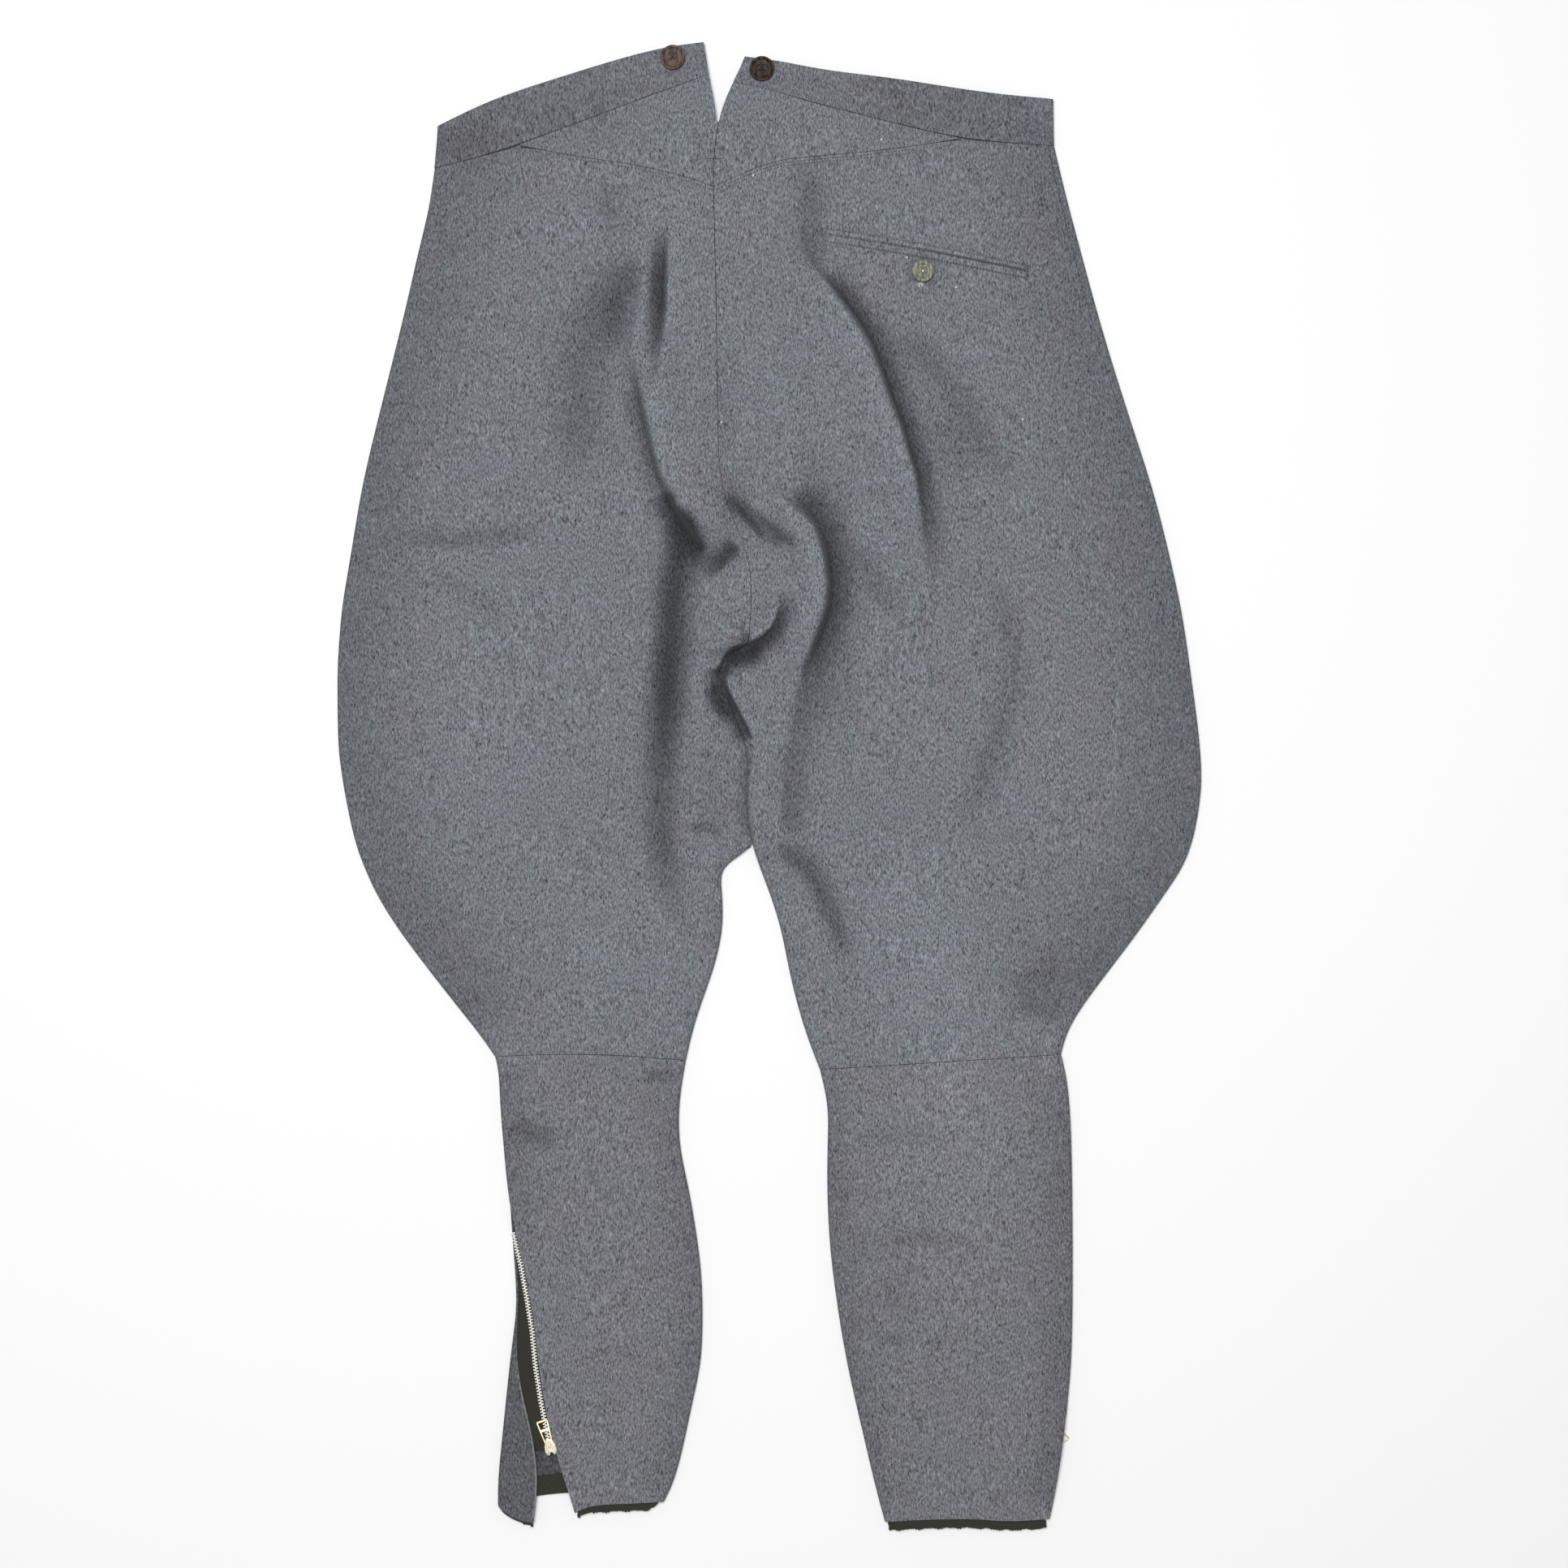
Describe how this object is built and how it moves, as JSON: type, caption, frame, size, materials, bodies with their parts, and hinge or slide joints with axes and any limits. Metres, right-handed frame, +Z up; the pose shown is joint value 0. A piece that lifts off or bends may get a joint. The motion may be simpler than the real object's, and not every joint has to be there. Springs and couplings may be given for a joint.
{
  "type": "riding breeches",
  "caption": "Wool riding breeches with balloon thighs and tapered zipped calves, laid flat on a surface with the seat up.",
  "frame": {"origin": "on the surface that the breeches lie on, under the middle of their outline", "axes": "+Y from the hems to the waist, +Z up out of the surface, +X towards the wearer's right leg"},
  "size_m": [0.5978, 1.0271, 0.0262],
  "materials": {
    "wool": "heavy blue-grey wool cloth with a soft nap",
    "band_wool": "the same wool on the waistband, a little darker",
    "dark_tape": "dark woven tape",
    "zip_teeth": "worn metal teeth",
    "zip_metal": "pale worn brass",
    "horn": "dark brown horn, glossy",
    "pocket_button": "grey-green, half glossy"
  },
  "bodies": {
    "root": {"back_left": "wool", "back_right": "wool", "yoke_left": "wool", "yoke_right": "wool", "waistband_back_left": "band_wool", "waistband_back_right": "band_wool", "front_left": "wool", "front_right": "wool", "waistband_front_left": "band_wool", "waistband_front_right": "band_wool", "calf_back_left": "wool", "calf_back_right": "wool", "calf_front_left": "wool", "calf_front_right": "wool", "hem_tape_back_left": "dark_tape", "hem_tape_back_right": "dark_tape", "hem_tape_front_left": "dark_tape", "hem_tape_front_right": "dark_tape", "zip_tape_left": "dark_tape", "zip_tape_right": "dark_tape", "zip_teeth_left": "zip_teeth", "zip_teeth_right": "zip_teeth", "zip_slider_left": "zip_metal", "zip_slider_right": "zip_metal", "brace_button_left": "horn", "brace_button_right": "horn", "pocket_button": "pocket_button", "pocket_welt_upper": "wool", "pocket_welt_lower": "wool"},
    "pull_left": {"zip_pull_left": "zip_metal"},
    "pull_right": {"zip_pull_right": "zip_metal"}
  },
  "joints": [
    {"name": "zip_pull_left_hinge", "type": "hinge", "parent": "root", "child": "pull_left", "pos_m": [-0.152, -0.45316, 0.01069], "axis": [0.9481, 0.318, 0], "range_deg": [0, 165]},
    {"name": "zip_pull_right_hinge", "type": "hinge", "parent": "root", "child": "pull_right", "pos_m": [0.19215, -0.45922, 0.0018], "axis": [-0.6767, 0.7363, 0], "range_deg": [0, 165]}
  ]
}
